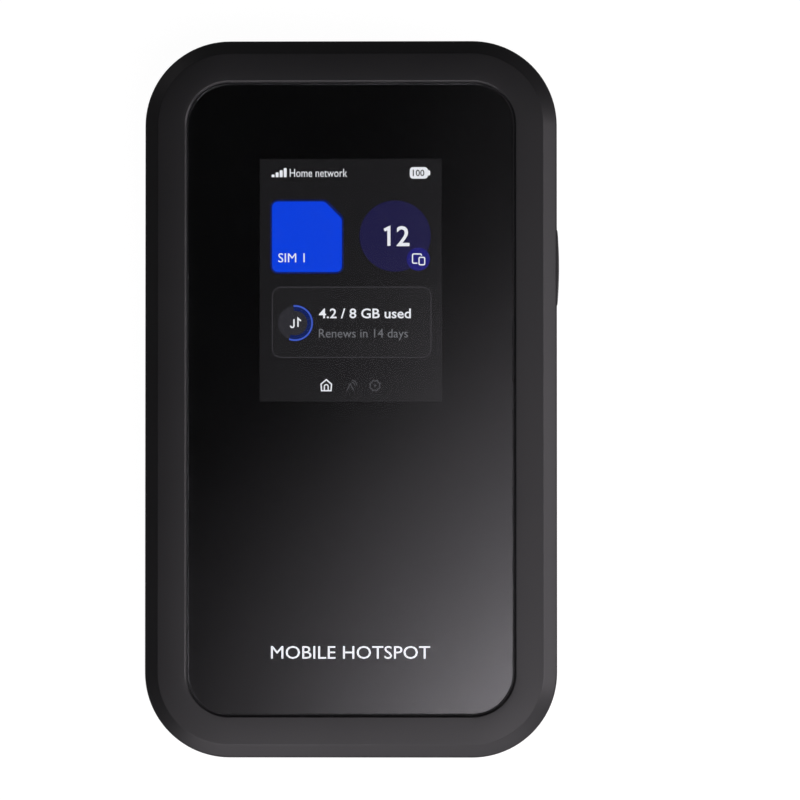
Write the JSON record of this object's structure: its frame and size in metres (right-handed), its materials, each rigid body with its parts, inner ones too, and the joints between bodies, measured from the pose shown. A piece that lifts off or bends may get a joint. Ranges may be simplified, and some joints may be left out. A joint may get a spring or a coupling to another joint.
{
  "type": "mobile hotspot",
  "caption": "Flat pocket-size battery mobile hotspot: black ring housing round a glossy window with a small portrait display, side power button, USB-C socket and clip-on rear cover.",
  "frame": {"origin": "centre of the body's outline, on the surface that the feet stand on", "axes": "+Z out of the display, +Y towards the top of the display, +X towards the power button's side"},
  "size_m": [0.0698, 0.1208, 0.0176],
  "materials": {
    "housing_plastic": "moulded black polycarbonate, very fine satin texture",
    "lens_glass": "polished, black behind",
    "mask_print": "screen-printed black",
    "adhesive_tape": "die-cut foam tape",
    "display_glass": "laminated display glass",
    "light_guide": "white moulded light guide",
    "stamped_steel": "stamped sheet",
    "ribbon_film": "amber polyimide film over copper",
    "connector_plastic": "moulded connector nylon",
    "board_laminate": "dark green solder mask",
    "chip_epoxy": "moulded epoxy",
    "shield_tinplate": "tinned sheet",
    "thermal_rubber": "soft filled silicone",
    "spreader_copper": "rolled copper sheet",
    "screw_steel": "zinc-plated",
    "socket_steel": "nickel-plated pressed shell",
    "gold_contact": "gold-plated contact",
    "carrier_plastic": "moulded antenna carrier",
    "chassis_plastic": "glass-filled moulding",
    "label_paper": "plain white sticker",
    "cover_plastic": "moulded black, fine spark texture",
    "foot_rubber": "soft moulded pads",
    "pad_foam": "open foam pad",
    "battery_plastic": "moulded frame",
    "cell_foil": "laminated pouch foil",
    "battery_wrap": "printed film, plain",
    "card_plastic": "white card stock",
    "button_plastic": "moulded, slightly smoother than the housing",
    "plunger_plastic": "acetal"
  },
  "bodies": {
    "housing": {"front_housing": "housing_plastic", "front_lens": "lens_glass", "lens_mask": "mask_print", "lens_adhesive": "adhesive_tape", "lcd_panel": "display_glass", "lcd_backlight": "light_guide", "lcd_bracket": "stamped_steel", "lcd_flex": "ribbon_film", "lcd_connector": "connector_plastic", "main_board": "board_laminate", "board_chips": "chip_epoxy", "modem_shield": "shield_tinplate", "processor_shield": "shield_tinplate", "power_shield": "shield_tinplate", "wlan_shield": "shield_tinplate", "thermal_pad": "thermal_rubber", "heat_spreader": "spreader_copper", "board_screws": "screw_steel", "usb_shell": "socket_steel", "usb_tongue": "connector_plastic", "usb_pins": "gold_contact", "sim_socket": "socket_steel", "sim_contacts": "gold_contact", "battery_connector": "connector_plastic", "battery_blades": "gold_contact", "switch_body": "connector_plastic", "antenna_carrier_top": "carrier_plastic", "antenna_carrier_left": "carrier_plastic", "antenna_carrier_right": "carrier_plastic", "antenna_flex_top": "ribbon_film", "antenna_flex_bottom": "ribbon_film", "antenna_flex_sides": "ribbon_film", "antenna_springs": "gold_contact", "inner_chassis": "chassis_plastic", "chassis_screws": "screw_steel", "bay_label": "label_paper"},
    "cover": {"rear_cover": "cover_plastic", "rear_feet": "foot_rubber", "battery_pad": "pad_foam"},
    "battery": {"battery_frame": "battery_plastic", "battery_cell": "cell_foil", "battery_contacts": "gold_contact", "battery_label": "battery_wrap"},
    "sim_card": {"nano_sim": "card_plastic", "sim_pads": "gold_contact"},
    "button": {"power_button": "button_plastic", "switch_plunger": "plunger_plastic"}
  },
  "joints": [
    {"name": "power_press", "type": "slide", "parent": "housing", "child": "button", "axis": [-1, 0, 0], "range_m": [0, 0.0003], "stiffness_N_per_m": 5000},
    {"name": "housing_lift", "type": "slide", "parent": "cover", "child": "housing", "axis": [0, 0, 1], "range_m": [0, 0.02]},
    {"name": "battery_lift", "type": "slide", "parent": "housing", "child": "battery", "axis": [0, 0, -1], "range_m": [0, 0.01]},
    {"name": "sim_slide", "type": "slide", "parent": "housing", "child": "sim_card", "axis": [0, 1, 0], "range_m": [0, 0.011]}
  ],
  "couplings": [
    {"joint": "battery_lift", "follows": "housing_lift", "ratio": 0.5}
  ]
}
